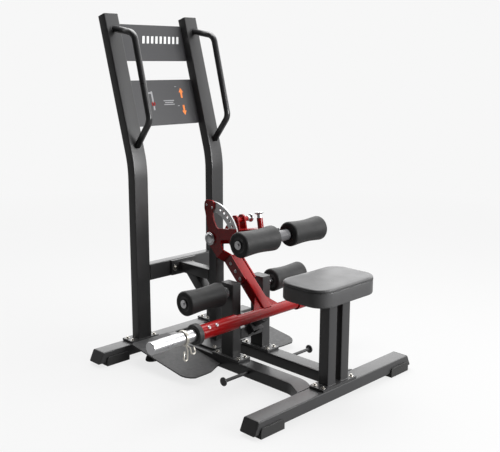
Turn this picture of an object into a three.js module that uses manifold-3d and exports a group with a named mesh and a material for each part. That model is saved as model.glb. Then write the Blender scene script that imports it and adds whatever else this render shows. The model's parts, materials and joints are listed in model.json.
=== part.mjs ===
// Plate-loaded standing hip thrust machine, as an assembly of separate named parts.
// Millimetres, +Z up, floor at z = 0, machine centre plane at x = 0, seat on the -Y side.
// While parts are built, y = 0 is the centre line of the rear base tube.
import * as THREE from 'three';
import { mergeVertices } from 'three/addons/utils/BufferGeometryUtils.js';
import Module from 'manifold-3d';

const wasm = await Module();
wasm.setup();

// ---- Driving dimensions -------------------------------------------------

const GAP = 0.3;              // air between neighbouring parts
const FAR = 2000;             // reach of a cutting block
const ORIGIN_Y = -410.42;     // y that becomes the middle of the finished machine's length

const TUBE_WIDE = 75;         // long side of the frame tubes
const TUBE = 50;              // short side of the frame tubes
const TUBE_WALL = 3;
const TUBE_CORNER = 6;        // outside corner radius of the tubes
const PLATE_TOP = 74;         // top of every bolted base plate

const SOLE = 14;              // rubber under the base tubes
const BASE_MID_Z = SOLE + TUBE / 2;
const BASE_TOP = SOLE + TUBE;
const BASE_END = 468;         // half length of a base tube at mid height
const BASE_END_SLOPE = 0.48;  // how far the slanted ends lean per unit of height
const FRONT_BASE_Y = -941;
const BOOT_HIGH = 40;
const BOOT_WALL = 8;

const RAIL_X = 89.5;          // centre line of a straight rail
const RAIL_BEND_Y = -835;     // where the two straight centre lines of a rail meet
const RAIL_BEND_R = 110;
const RAIL_SPLAY = THREE.MathUtils.degToRad(30);

const UPRIGHT_X = 227.5;
const UPRIGHT_Y = -9.2;
const UPRIGHT_BEND_Z = 859.9;
const UPRIGHT_BEND_R = 420;
const UPRIGHT_LEAN = THREE.MathUtils.degToRad(16.1);
const UPRIGHT_TOP = 666.5;    // length of the leaning part
const FACE_BEND_Z = 863.4;    // height at which the uprights' front face starts to lean
const FACE_Y = UPRIGHT_Y - TUBE / 2;
const SIGN_BACK = -41;        // sign plates sit this far behind the front face
const SIGN_FRONT = -38;

const HANDLE_X = 228.5;
const HANDLE_R = 14;

const HUB_Y = -293;           // pivot axis of the lever, along X
const HUB_Z = 552;
const SHAFT_R = 15;
const BORE_R = SHAFT_R + GAP;

const BAR_S = 398;            // distance from the pivot to the bar, along the lever
const BAR_Y = HUB_Y - BAR_S * Math.SQRT1_2;
const BAR_Z = HUB_Z - BAR_S * Math.SQRT1_2;
const BAR_R = 24;
const BAR_OUTER_R = 30;
const SLEEVE_R = 25;
const SLEEVE_END = 620;
const BAR_END = 385;
const COLLAR_END = 410;
const CLIP_X = 458;
const CLIP_WIRE_R = 2.8;

const FORK_IN = 51;           // inside and outside faces of the fork plates
const FORK_OUT = 57;
const STRAP_IN = 25 + GAP;
const STRAP_OUT = 31 + GAP;
const SECTOR_R = 145;         // pin hole circle
const SECTOR_PITCH = 9.6;     // degrees between pin holes
const PIN_R = 5.5;
const PIN_BORE_R = 5.8;

const ARM_LIFT = THREE.MathUtils.degToRad(10.3);
const ARM_PIN = { s: 127.7, t: 68.8 };
const PIN_HOUSING_END = 50;
const REACH_PIN_S = 256;
const REACH_POST_TOP = 72;
const CROSS_SHAFT = { s: 362.2, t: -6 };

const ROLLER_R = 52;
const AXLE_R = 12.5;
const LOWER_Y = -452;
const LOWER_Z = 354.6;
const LOWER_ROLLER_IN = 153.3; // ends of a lower roller, measured from the centre plane
const LOWER_ROLLER_OUT = 350;
const UPPER_ROLLER_IN = 44;
const UPPER_ROLLER_OUT = 240.5;

const COLUMN_X = 90;
const COLUMN_Y = -452.5;
const COLUMN_TOP = 393.3;
const COLUMN_CAP = 5;

const PAD_LOW = 415.7;
const PAD_TOP = 489.3;
const PAD_Y = -904.3;

const FOOT_SLOPE = Math.atan(0.1397);

// ---- Materials ----------------------------------------------------------

function material(colour, roughness, metalness) {
  return new THREE.MeshStandardMaterial({ color: colour, roughness, metalness });
}

const charcoal = () => material(0x3c3c3e, 0.45, 0.4);
const red = () => material(0x8e1518, 0.35, 0.3);
const chrome = () => material(0xd6d6d8, 0.12, 1.0);
const steel = () => material(0xb4b5b8, 0.35, 0.9);
const slideGrey = () => material(0x56575a, 0.4, 0.6);
const foam = () => material(0x1a1a1b, 0.85, 0.0);
const vinyl = () => material(0x333335, 0.6, 0.0);
const rubber = () => material(0x161617, 0.8, 0.0);
const plastic = () => material(0x2a2a2b, 0.6, 0.0);
const panel = () => material(0x2c2c2e, 0.5, 0.2);
const darkSteel = () => material(0x262628, 0.4, 0.5);

// ---- Solids -------------------------------------------------------------

// Turns a closed geometry into a solid that can be joined and cut.
function toSolid(shape) {
  if (shape instanceof wasm.Manifold) return shape;
  const bare = shape.clone();
  bare.deleteAttribute('normal');
  bare.deleteAttribute('uv');
  const welded = mergeVertices(bare, 1e-4);
  const points = welded.attributes.position.array;
  const index = welded.index.array;
  const kept = [];
  for (let i = 0; i < index.length; i += 3) {
    const [a, b, c] = [index[i], index[i + 1], index[i + 2]];
    if (a !== b && b !== c && c !== a) kept.push(a, b, c);
  }
  if (signedVolume(points, kept) < 0) {
    for (let i = 0; i < kept.length; i += 3) [kept[i], kept[i + 1]] = [kept[i + 1], kept[i]];
  }
  return new wasm.Manifold(new wasm.Mesh({
    numProp: 3,
    vertProperties: new Float32Array(points),
    triVerts: new Uint32Array(kept),
  }));
}

function signedVolume(points, index) {
  const corner = (i) => new THREE.Vector3().fromArray(points, index[i] * 3);
  let total = 0;
  for (let i = 0; i < index.length; i += 3) {
    total += corner(i).dot(corner(i + 1).cross(corner(i + 2))) / 6;
  }
  return total;
}

function join(...pieces) {
  return pieces.map(toSolid).reduce((whole, piece) => whole.add(piece));
}

function cut(body, ...tools) {
  return tools.map(toSolid).reduce((left, tool) => left.subtract(tool), toSolid(body));
}

function common(first, second) {
  return toSolid(first).intersect(toSolid(second));
}

function toGeometry(solid, shiftY = 0, mirror = false) {
  const mesh = toSolid(solid).getMesh();
  const stride = mesh.numProp;
  const points = [];
  for (let i = 0; i < mesh.vertProperties.length; i += stride) {
    const [x, y, z] = mesh.vertProperties.slice(i, i + 3);
    points.push(mirror ? -x : x, y + shiftY, z);
  }
  const index = Array.from(mesh.triVerts);
  if (mirror) {
    for (let i = 0; i < index.length; i += 3) [index[i], index[i + 1]] = [index[i + 1], index[i]];
  }
  const geometry = new THREE.BufferGeometry();
  geometry.setAttribute('position', new THREE.Float32BufferAttribute(points, 3));
  geometry.setIndex(index);
  geometry.computeVertexNormals();
  return geometry;
}

// ---- Outlines -----------------------------------------------------------

function circle(u, v, r, count = 24) {
  const points = [];
  for (let i = 0; i < count; i += 1) {
    const turn = (2 * Math.PI * i) / count;
    points.push([u + r * Math.cos(turn), v + r * Math.sin(turn)]);
  }
  return points;
}

// Rectangle with rounded corners, centred on (u, v), listed anticlockwise.
function roundedRect(u, v, wide, high, radius, steps = 2) {
  const points = [];
  const corners = [[1, 1, 0], [-1, 1, 90], [-1, -1, 180], [1, -1, 270]];
  for (const [signU, signV, start] of corners) {
    const midU = u + signU * (wide / 2 - radius);
    const midV = v + signV * (high / 2 - radius);
    for (let i = 0; i <= steps; i += 1) {
      const turn = THREE.MathUtils.degToRad(start + (90 * i) / steps);
      points.push([midU + radius * Math.cos(turn), midV + radius * Math.sin(turn)]);
    }
  }
  return points;
}

function extruded(points, depth, holes = []) {
  const shape = new THREE.Shape(points.map(([u, v]) => new THREE.Vector2(u, v)));
  for (const hole of holes) {
    shape.holes.push(new THREE.Path(hole.map(([u, v]) => new THREE.Vector2(u, v))));
  }
  return new THREE.ExtrudeGeometry(shape, { depth, bevelEnabled: false, curveSegments: 1 });
}

// A frame of reference: columns are the directions of its own three axes.
function frameOf(first, second, third, origin) {
  return new THREE.Matrix4().makeBasis(first, second, third).setPosition(origin);
}

const X = new THREE.Vector3(1, 0, 0);
const Y = new THREE.Vector3(0, 1, 0);
const Z = new THREE.Vector3(0, 0, 1);
const vec = (x, y, z) => new THREE.Vector3(x, y, z);

// Outline in (y, z), pushed along X.
function prismX(points, x0, x1, holes = []) {
  return extruded(points, x1 - x0, holes).applyMatrix4(frameOf(Y, Z, X, vec(x0, 0, 0)));
}

// Outline in (x, z), pushed along Y.
function prismY(points, y0, y1, holes = []) {
  const back = Y.clone().negate();
  return extruded(points, y1 - y0, holes).applyMatrix4(frameOf(X, Z, back, vec(0, y1, 0)));
}

// Outline in (x, y), pushed along Z.
function prismZ(points, z0, z1, holes = []) {
  return extruded(points, z1 - z0, holes).translate(0, 0, z0);
}

function box(x0, x1, y0, y1, z0, z1) {
  const block = new THREE.BoxGeometry(x1 - x0, y1 - y0, z1 - z0);
  return block.translate((x0 + x1) / 2, (y0 + y1) / 2, (z0 + z1) / 2);
}

// Revolves a list of (distance along the axis, radius) about a line along the given direction.
function turned(profile, axis, origin, count = 32) {
  const side = Math.abs(axis.x) > 0.9 ? Y.clone() : X.clone();
  const third = side.clone().cross(axis);
  const points = profile.map(([along, r]) => new THREE.Vector2(r, along));
  return new THREE.LatheGeometry(points, count).applyMatrix4(frameOf(side, axis, third, origin));
}

function rodX(y, z, r, x0, x1, count = 24) {
  return prismX(circle(y, z, r, count), x0, x1);
}

// ---- Sweeps -------------------------------------------------------------

// Skins an outline along frames {o, a, b}, where a x b points along the travel.
// With an inner outline the result is a tube that is open at both ends.
function sweep(frames, outer, inner = null) {
  const rings = inner ? [outer, inner] : [outer];
  const count = outer.length;
  const points = [];
  for (const ring of rings) {
    for (const { o, a, b } of frames) {
      for (const [u, v] of ring) {
        points.push(o.x + a.x * u + b.x * v, o.y + a.y * u + b.y * v, o.z + a.z * u + b.z * v);
      }
    }
  }
  const at = (ring, frame, k) => (ring * frames.length + frame) * count + (k % count);
  const index = [];
  for (let ring = 0; ring < rings.length; ring += 1) {
    for (let i = 0; i + 1 < frames.length; i += 1) {
      for (let k = 0; k < count; k += 1) {
        const [p, q] = [at(ring, i, k), at(ring, i, k + 1)];
        const [r, s] = [at(ring, i + 1, k + 1), at(ring, i + 1, k)];
        if (ring === 0) index.push(p, q, r, p, r, s);
        else index.push(p, r, q, p, s, r);
      }
    }
  }
  const last = frames.length - 1;
  if (inner) {
    for (let k = 0; k < count; k += 1) {
      index.push(at(0, last, k), at(0, last, k + 1), at(1, last, k + 1));
      index.push(at(0, last, k), at(1, last, k + 1), at(1, last, k));
      index.push(at(0, 0, k + 1), at(0, 0, k), at(1, 0, k + 1));
      index.push(at(1, 0, k + 1), at(0, 0, k), at(1, 0, k));
    }
  } else {
    for (let k = 1; k + 1 < count; k += 1) {
      index.push(at(0, last, 0), at(0, last, k), at(0, last, k + 1));
      index.push(at(0, 0, 0), at(0, 0, k + 1), at(0, 0, k));
    }
  }
  const geometry = new THREE.BufferGeometry();
  geometry.setAttribute('position', new THREE.Float32BufferAttribute(points, 3));
  geometry.setIndex(index);
  return geometry;
}

function tubeOuter(wide, high) {
  return roundedRect(0, 0, wide, high, TUBE_CORNER);
}

function tubeInner(wide, high, wall = TUBE_WALL) {
  return roundedRect(0, 0, wide - 2 * wall, high - 2 * wall, TUBE_CORNER - wall);
}

// Straight square or oblong tube between two points; side is the direction of its width.
function straightTube(from, to, side, wide, high, wall = TUBE_WALL) {
  const travel = to.clone().sub(from).normalize();
  const b = travel.clone().cross(side);
  const frames = [{ o: from, a: side, b }, { o: to, a: side, b }];
  return sweep(frames, tubeOuter(wide, high), tubeInner(wide, high, wall));
}

// Rounds the corners of a chain of points with arcs.
function filleted(corners, radius, steps) {
  const path = [corners[0]];
  for (let i = 1; i + 1 < corners.length; i += 1) {
    const back = corners[i - 1].clone().sub(corners[i]).normalize();
    const on = corners[i + 1].clone().sub(corners[i]).normalize();
    const half = back.angleTo(on) / 2;
    const reach = radius / Math.tan(half);
    const middle = back.clone().add(on).normalize().multiplyScalar(radius / Math.sin(half));
    const centre = corners[i].clone().add(middle);
    const first = corners[i].clone().addScaledVector(back, reach).sub(centre);
    const final = corners[i].clone().addScaledVector(on, reach).sub(centre);
    const sweepAngle = first.angleTo(final);
    const normal = first.clone().cross(final).normalize();
    for (let k = 0; k <= steps; k += 1) {
      const arm = first.clone().applyAxisAngle(normal, (sweepAngle * k) / steps);
      path.push(centre.clone().add(arm));
    }
  }
  path.push(corners[corners.length - 1]);
  return path;
}

// Round bar along a path; the outline's frame is carried along without twist.
function wire(path, radius, count) {
  const frames = [];
  let a = null;
  for (let i = 0; i < path.length; i += 1) {
    const before = path[Math.max(i - 1, 0)];
    const after = path[Math.min(i + 1, path.length - 1)];
    const travel = after.clone().sub(before).normalize();
    if (!a) a = Math.abs(travel.x) < 0.9 ? X.clone() : Y.clone();
    a = a.clone().addScaledVector(travel, -a.dot(travel)).normalize();
    frames.push({ o: path[i], a, b: travel.clone().cross(a) });
  }
  return sweep(frames, circle(0, 0, radius, count));
}

// ---- Assembly -----------------------------------------------------------

const group = new THREE.Group();
group.name = 'standing_hip_thrust_machine';

function addPart(name, solid, look, mirror = false) {
  const mesh = new THREE.Mesh(toGeometry(solid, -ORIGIN_Y, mirror), look());
  mesh.name = name;
  group.add(mesh);
}

// Adds a part built on the +X side and its mirror image on the -X side.
function addPair(name, solid, look) {
  addPart(`${name}_right`, solid, look);
  addPart(`${name}_left`, solid, look, true);
}

// ---- Base and rails -----------------------------------------------------

function baseFrame(x, y) {
  return { o: vec(x, y, BASE_MID_Z), a: Y, b: vec(-Math.sign(x) * BASE_END_SLOPE, 0, 1) };
}

function baseTube(y) {
  const frames = [baseFrame(-BASE_END, y), baseFrame(BASE_END, y)];
  return sweep(frames, tubeOuter(TUBE_WIDE, TUBE), tubeInner(TUBE_WIDE, TUBE));
}

function baseCap(y) {
  const plate = [baseFrame(BASE_END + GAP, y), baseFrame(BASE_END + 3.3, y)];
  const plug = [baseFrame(BASE_END - 14, y), baseFrame(BASE_END + 1, y)];
  return join(
    sweep(plate, tubeOuter(TUBE_WIDE, TUBE)),
    sweep(plug, roundedRect(0, 0, TUBE_WIDE - 7, TUBE - 7, 2.6)),
  );
}

function boot(y, x0, x1) {
  const low = y - TUBE_WIDE / 2;
  const high = y + TUBE_WIDE / 2;
  const section = [
    [low - BOOT_WALL, 0], [high + BOOT_WALL, 0],
    [high + BOOT_WALL, BOOT_HIGH], [high + GAP, BOOT_HIGH],
    [high + GAP, SOLE - GAP], [low - GAP, SOLE - GAP],
    [low - GAP, BOOT_HIGH], [low - BOOT_WALL, BOOT_HIGH],
  ];
  const mid = (x0 + x1) / 2;
  const outline = roundedRect(mid, 0, x1 - x0, 2 * BOOT_HIGH, 16, 3);
  return common(prismX(section, x0, x1), prismY(outline, low - 20, high + 20));
}

function rail() {
  const frames = [{ o: vec(RAIL_X, -TUBE_WIDE / 2 - GAP, BASE_MID_Z), a: X, b: Z }];
  const start = RAIL_BEND_Y + RAIL_BEND_R * Math.tan(RAIL_SPLAY / 2);
  const steps = 5;
  for (let i = 0; i <= steps; i += 1) {
    const turn = (RAIL_SPLAY * i) / steps;
    const x = RAIL_X + RAIL_BEND_R * (1 - Math.cos(turn));
    const y = start - RAIL_BEND_R * Math.sin(turn);
    frames.push({ o: vec(x, y, BASE_MID_Z), a: vec(Math.cos(turn), Math.sin(turn), 0), b: Z });
  }
  const endY = FRONT_BASE_Y + TUBE_WIDE / 2 + GAP;
  const endX = RAIL_X + (RAIL_BEND_Y - endY) * Math.tan(RAIL_SPLAY);
  frames.push({ o: vec(endX, endY, BASE_MID_Z), a: vec(1 / Math.cos(RAIL_SPLAY), 0, 0), b: Z });
  return sweep(frames, tubeOuter(TUBE_WIDE, TUBE), tubeInner(TUBE_WIDE, TUBE));
}

// ---- Uprights, crossbar, signs and handles -------------------------------

const leanDirection = vec(0, Math.sin(UPRIGHT_LEAN), Math.cos(UPRIGHT_LEAN));
const leanBack = vec(0, Math.cos(UPRIGHT_LEAN), -Math.sin(UPRIGHT_LEAN));

function uprightFrame(along) {
  const bend = vec(UPRIGHT_X, UPRIGHT_Y, UPRIGHT_BEND_Z);
  return { o: bend.addScaledVector(leanDirection, along), a: X, b: leanBack };
}

function upright() {
  const frames = [{ o: vec(UPRIGHT_X, UPRIGHT_Y, PLATE_TOP - 4), a: X, b: Y }];
  const start = UPRIGHT_BEND_Z - UPRIGHT_BEND_R * Math.tan(UPRIGHT_LEAN / 2);
  const steps = 5;
  for (let i = 0; i <= steps; i += 1) {
    const turn = (UPRIGHT_LEAN * i) / steps;
    const y = UPRIGHT_Y + UPRIGHT_BEND_R * (1 - Math.cos(turn));
    const z = start + UPRIGHT_BEND_R * Math.sin(turn);
    frames.push({ o: vec(UPRIGHT_X, y, z), a: X, b: vec(0, Math.cos(turn), -Math.sin(turn)) });
  }
  frames.push(uprightFrame(UPRIGHT_TOP));
  const half = TUBE_WIDE / 2;
  return join(
    sweep(frames, tubeOuter(TUBE_WIDE, TUBE), tubeInner(TUBE_WIDE, TUBE)),
    box(UPRIGHT_X - 75, UPRIGHT_X + 75, -half, half, BASE_TOP + GAP, PLATE_TOP),
  );
}

function uprightCap() {
  const plate = [uprightFrame(UPRIGHT_TOP + GAP), uprightFrame(UPRIGHT_TOP + 3.3)];
  const plug = [uprightFrame(UPRIGHT_TOP - 14), uprightFrame(UPRIGHT_TOP + 1)];
  return join(
    sweep(plate, tubeOuter(TUBE_WIDE, TUBE)),
    sweep(plug, roundedRect(0, 0, TUBE_WIDE - 7, TUBE - 7, 2.6)),
  );
}

function crossbar() {
  const end = UPRIGHT_X - TUBE_WIDE / 2 - GAP;
  const mid = 374.5;
  return straightTube(vec(-end, UPRIGHT_Y, mid), vec(end, UPRIGHT_Y, mid), Y, TUBE, TUBE_WIDE);
}

// Height and depth measured along the leaning front face of the uprights.
const faceFrame = frameOf(
  X, leanDirection, leanBack.clone().negate(), vec(0, FACE_Y, FACE_BEND_Z),
);

function signPlate(low, high) {
  const wide = 2 * (UPRIGHT_X - TUBE_WIDE / 2 - GAP);
  const outline = roundedRect(0, (low + high) / 2, wide, high - low, 8);
  const plate = extruded(outline, SIGN_FRONT - SIGN_BACK).translate(0, 0, SIGN_BACK);
  return plate.applyMatrix4(faceFrame);
}

function handle() {
  const corners = [
    vec(HANDLE_X, 160, 1450.4), vec(HANDLE_X, -9, 1423),
    vec(HANDLE_X, -104, 1058), vec(HANDLE_X, 20, 904.7),
  ];
  const bar = wire(filleted(corners, 48, 5), HANDLE_R, 14);
  const face = (z) => FACE_Y + Math.max(z - FACE_BEND_Z, 0) * Math.tan(UPRIGHT_LEAN) - GAP;
  const behind = [
    [face(800), 800], [FAR, 800], [FAR, 1600], [face(1600), 1600], [face(FACE_BEND_Z), FACE_BEND_Z],
  ];
  return cut(bar, prismX(behind, 100, 400));
}

// ---- Mast and the beam behind it ------------------------------------------

function mastBeam() {
  const back = UPRIGHT_Y - TUBE / 2 - GAP;
  const mastBack = -242 + GAP;
  const mid = 373;
  const flange = box(-72, 72, back - 10, back, 340, 409);
  const hollow = box(-22, 22, back - 12, back + 5, mid - 22, mid + 22);
  const beam = straightTube(vec(0, back - 9, mid), vec(0, mastBack, mid), X, TUBE, TUBE);
  const braceTube = straightTube(vec(0, -106, 366.5), vec(0, -290, 182.5), X, TUBE, TUBE);
  const brace = cut(
    braceTube,
    box(-FAR, FAR, -FAR, FAR, mid - TUBE / 2 + 1, FAR),
    box(-FAR, FAR, -FAR, mastBack, -FAR, FAR),
  );
  return join(cut(flange, hollow), beam, brace);
}

function mast() {
  const corner = 16;
  const outline = roundedRect(0, -270, 200, 180, corner);
  const foot = prismZ(outline, BASE_TOP + GAP, PLATE_TOP);
  const tube = straightTube(vec(0, -267, PLATE_TOP - 4), vec(0, -267, 556), Y, TUBE, TUBE);
  const lid = prismZ(roundedRect(0, -267, TUBE, TUBE, TUBE_CORNER), 552, 558);
  const housing = rodX(HUB_Y, HUB_Z, 26, -25, 25, 32);
  return cut(
    join(foot, tube, lid, housing),
    rodX(HUB_Y, HUB_Z, BORE_R, -40, 40, 32),
    box(-21, 21, -288, -246, BASE_TOP - 5, PLATE_TOP + 2),
  );
}

// ---- Columns, lower rollers and the lever's stop --------------------------

function column() {
  const foot = prismZ(roundedRect(COLUMN_X, COLUMN_Y, 75, 165, 6), BASE_TOP + GAP, PLATE_TOP);
  const from = vec(COLUMN_X, COLUMN_Y, PLATE_TOP - 4);
  const to = vec(COLUMN_X, COLUMN_Y, COLUMN_TOP - COLUMN_CAP - GAP);
  const tube = straightTube(from, to, Y, TUBE_WIDE, TUBE);
  return join(foot, tube);
}

function columnCap() {
  const under = COLUMN_TOP - COLUMN_CAP;
  return join(
    prismZ(roundedRect(COLUMN_X, COLUMN_Y, TUBE, TUBE_WIDE, TUBE_CORNER), under, COLUMN_TOP),
    prismZ(roundedRect(COLUMN_X, COLUMN_Y, TUBE - 7, TUBE_WIDE - 7, 2.6), under - 14, under + 1),
  );
}

const leverDirection = vec(0, -Math.SQRT1_2, -Math.SQRT1_2);
const leverNormal = vec(0, -Math.SQRT1_2, Math.SQRT1_2);
const hub = vec(0, HUB_Y, HUB_Z);
// Own axes: along the lever, along X, and square to the lever on its front side.
const leverFrame = frameOf(leverDirection, X, leverNormal, hub);

function leverBox(s0, s1, x0, x1, t0, t1) {
  return box(s0, s1, x0, x1, t0, t1).applyMatrix4(leverFrame);
}

function columnBeam() {
  const end = COLUMN_X - TUBE / 2 - GAP;
  const [y, z] = [-465, 167];
  const tube = straightTube(vec(-end, y, z), vec(end, y, z), Y, TUBE, TUBE);
  const gusset = [[-487, 225], [-529, 183], [-489, 152], [-489, 191], [-460, 191]];
  return join(
    tube,
    leverBox(BAR_S - 30, BAR_S + 30, -30, 30, -96, -90),
    prismX(gusset, 14, 20),
    prismX(gusset, -20, -14),
  );
}

function bumper() {
  const foot = vec(0, BAR_Y, BAR_Z);
  const top = -TUBE / 2 - GAP;
  const profile = [[-90 + GAP, 0], [-90 + GAP, 17], [-84, 18], [-33, 28], [top - 2, 28]];
  profile.push([top, 26], [top, 0]);
  return turned(profile, leverNormal, foot, 24);
}

function lowerAxle() {
  const start = COLUMN_X + TUBE / 2 + GAP;
  const inner = LOWER_ROLLER_IN - GAP;
  const outer = LOWER_ROLLER_OUT + GAP;
  const profile = [[start, 0], [start, 22], [start + 9, 22], [start + 9, 16], [inner, 16]];
  profile.push([inner, AXLE_R], [outer, AXLE_R], ...axleEnd(outer));
  return turned(profile, X, vec(0, LOWER_Y, LOWER_Z), 20);
}

// Washer and bolt head that hold a roller on its axle, outwards from x.
function axleEnd(x) {
  return [[x, 17], [x + 3.7, 17], [x + 3.7, 8], [x + 8.7, 8], [x + 8.7, 0]];
}

function roller(x0, x1, y, z) {
  const bore = AXLE_R + GAP;
  const profile = [[x0, bore], [x0, ROLLER_R - 10]];
  const steps = 3;
  for (let i = 1; i <= steps; i += 1) {
    const turn = (Math.PI / 2) * (i / steps);
    profile.push([x0 + 10 * (1 - Math.cos(turn)), ROLLER_R - 10 + 10 * Math.sin(turn)]);
  }
  for (let i = steps; i >= 0; i -= 1) {
    const turn = (Math.PI / 2) * (i / steps);
    profile.push([x1 - 10 * (1 - Math.cos(turn)), ROLLER_R - 10 + 10 * Math.sin(turn)]);
  }
  profile.push([x1, bore], [x0, bore]);
  return turned(profile, X, vec(0, y, z), 32);
}

// ---- Seat, foot plates and band pegs --------------------------------------

function seatStand() {
  const postY = -940;
  const foot = prismZ(roundedRect(0, postY, 210, 73, 6), BASE_TOP + GAP, PLATE_TOP);
  const top = prismZ(roundedRect(0, PAD_Y, 250, 160, 10), PAD_LOW - GAP - 5, PAD_LOW - GAP);
  const pieces = [foot, top];
  const hollows = [];
  for (const x of [-40, 40]) {
    const from = vec(x, postY, PLATE_TOP - 4);
    pieces.push(straightTube(from, vec(x, postY, PAD_LOW - 4), Y, TUBE, TUBE));
    const inside = [x - 21, x + 21, postY - 21, postY + 21];
    hollows.push(box(...inside, BASE_TOP - 5, PLATE_TOP + 2));
  }
  return cut(join(...pieces), ...hollows);
}

function seatPad() {
  const soft = 12;
  const outline = roundedRect(0, PAD_Y, 357, 234.3, 67, 6);
  const shape = new THREE.Shape(outline.map(([u, v]) => new THREE.Vector2(u, v)));
  const pad = new THREE.ExtrudeGeometry(shape, {
    depth: PAD_TOP - PAD_LOW - 2 * soft,
    bevelThickness: soft,
    bevelSize: soft,
    bevelOffset: -soft,
    bevelSegments: 2,
    curveSegments: 1,
  });
  return pad.translate(0, 0, PAD_LOW + soft);
}

const footAlong = vec(0, Math.cos(FOOT_SLOPE), Math.sin(FOOT_SLOPE));
const footNormal = vec(0, -Math.sin(FOOT_SLOPE), Math.cos(FOOT_SLOPE));
const footFrame = frameOf(X, footAlong, footNormal, vec(0, -300, 51.9));
const FOOT_THICK = 6;

function footPlate() {
  const inner = RAIL_X + TUBE_WIDE / 2 + GAP;
  const plan = [
    [inner, -424], [159, -436], [180, -445], [205, -455], [240, -458], [298, -458],
    [316, -447], [330, -430], [337, -410], [337, -86], [332, -75], [321, -70], [inner, -70],
  ];
  const outline = plan.map(([x, y]) => [x, (y + 300) / Math.cos(FOOT_SLOPE)]);
  const plate = extruded(outline, FOOT_THICK).translate(0, 0, -FOOT_THICK);
  const rearArm = box(inner, 310, 90, 102, -34, -FOOT_THICK + 1);
  const frontArm = box(inner, 290, -96, -84, -20, -FOOT_THICK + 1);
  return join(
    plate.applyMatrix4(footFrame),
    rearArm.applyMatrix4(footFrame),
    frontArm.applyMatrix4(footFrame),
  );
}

function rubberFoot() {
  const profile = [[0, 0], [0, 25], [5, 26], [14, 23.5], [26, 17.5], [44, 15.5], [90, 15.5], [90, 0]];
  const post = turned(profile, Z, vec(262, -118, 0), 28);
  const above = box(-FAR, FAR, -FAR, FAR, -FOOT_THICK - GAP, FAR).applyMatrix4(footFrame);
  return cut(post, above);
}

function peg() {
  const start = RAIL_X + TUBE_WIDE / 2 + GAP;
  const profile = [[start, 0], [start, 7], [262, 7], [262, 18], [263, 18.5], [267, 18.5]];
  profile.push([268, 17.5], [268, 0]);
  return turned(profile, X, vec(0, -590.6, 41), 20);
}

// ---- Lever ------------------------------------------------------------------

// One side of the fork, its upper edge given from back to front.
function forkPlate(top) {
  const outline = [
    ...top, [-418, 567], [-354, 553.6], [-357, 532], [-368, 513], [-331.2, 475.6],
    [-297, 509.8], [-277, 524], [-264, 542], [-262, 560], [-267, 576], [-275, 590],
  ];
  const plate = prismX(outline, FORK_IN, FORK_OUT);
  const leg = [
    [30, FORK_IN], [81, FORK_IN], [110, STRAP_IN], [240, STRAP_IN],
    [240, STRAP_OUT], [113, STRAP_OUT], [84, FORK_OUT], [30, FORK_OUT],
  ];
  const half = 27;
  const strap = extruded(leg, 2 * half).translate(0, 0, -half).applyMatrix4(leverFrame);
  return cut(join(plate, strap), rodX(HUB_Y, HUB_Z, BORE_R, 0, 80, 32));
}

function barTube() {
  const step = 182;
  const end = BAR_END;
  const seat = 200;
  const bore = SLEEVE_R + 0.4;
  const profile = [
    [-end, bore], [-end, BAR_OUTER_R], [-step, BAR_OUTER_R], [-step, BAR_R],
    [step, BAR_R], [step, BAR_OUTER_R], [end, BAR_OUTER_R], [end, bore],
    [seat, bore], [seat, 19], [-seat, 19], [-seat, bore], [-end, bore],
  ];
  return turned(profile, X, vec(0, BAR_Y, BAR_Z), 40);
}

function leverBody() {
  const point = (s) => hub.clone().addScaledVector(leverDirection, s);
  const tube = straightTube(point(112), point(BAR_S - 10), X, TUBE, TUBE);
  const shank = cut(tube, rodX(BAR_Y, BAR_Z, 21.5, -60, 60, 32));
  const wing = [[325, 24], [382, 24], [382, 75]];
  const wingPlate = extruded(wing, 8).translate(0, 0, 8).applyMatrix4(leverFrame);
  const otherWing = wing.map(([s, x]) => [s, -x]);
  const otherPlate = extruded(otherWing, 8).translate(0, 0, 8).applyMatrix4(leverFrame);
  return join(barTube(), shank, wingPlate, otherPlate);
}

function pivotShaft() {
  const half = [[FORK_OUT + GAP, SHAFT_R], [FORK_OUT + GAP, 29], [65, 29], [67, 27]];
  half.push([67, 10], [70, 10], [70, 0]);
  const other = half.map(([x, r]) => [-x, r]).reverse();
  return turned([...other, ...half], X, hub, 24);
}

function sectorPoint(r, degrees) {
  const turn = THREE.MathUtils.degToRad(degrees);
  return [HUB_Y - r * Math.cos(turn), HUB_Z + r * Math.sin(turn)];
}

function sectorPlate() {
  const [low, high, steps] = [18, 102, 22];
  const outline = [];
  for (let i = 0; i <= steps; i += 1) outline.push(sectorPoint(165, low + ((high - low) * i) / steps));
  for (let i = steps; i >= 0; i -= 1) outline.push(sectorPoint(120, low + ((high - low) * i) / steps));
  const holes = [];
  for (let i = 0; i < 5; i += 1) {
    const [y, z] = sectorPoint(SECTOR_R, 29 + SECTOR_PITCH * i);
    holes.push(circle(y, z, 6.2, 18));
  }
  return prismX(outline, -FORK_IN + GAP, -FORK_IN + GAP + 7, holes);
}

function sleeve() {
  const profile = [[SLEEVE_END, 0], [SLEEVE_END, 23.5], [SLEEVE_END - 1.5, SLEEVE_R]];
  profile.push([300, SLEEVE_R], [300, 21], [SLEEVE_END - 4, 21], [SLEEVE_END - 4, 0]);
  return turned(profile, X, vec(0, BAR_Y, BAR_Z), 40);
}

function collar() {
  const bore = SLEEVE_R + GAP;
  const start = BAR_END + GAP;
  const profile = [[start, bore], [start, 40], [start + 2, 42], [COLLAR_END - 3, 42]];
  profile.push([COLLAR_END, 39], [COLLAR_END, bore], [start, bore]);
  return turned(profile, X, vec(0, BAR_Y, BAR_Z), 40);
}

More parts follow.
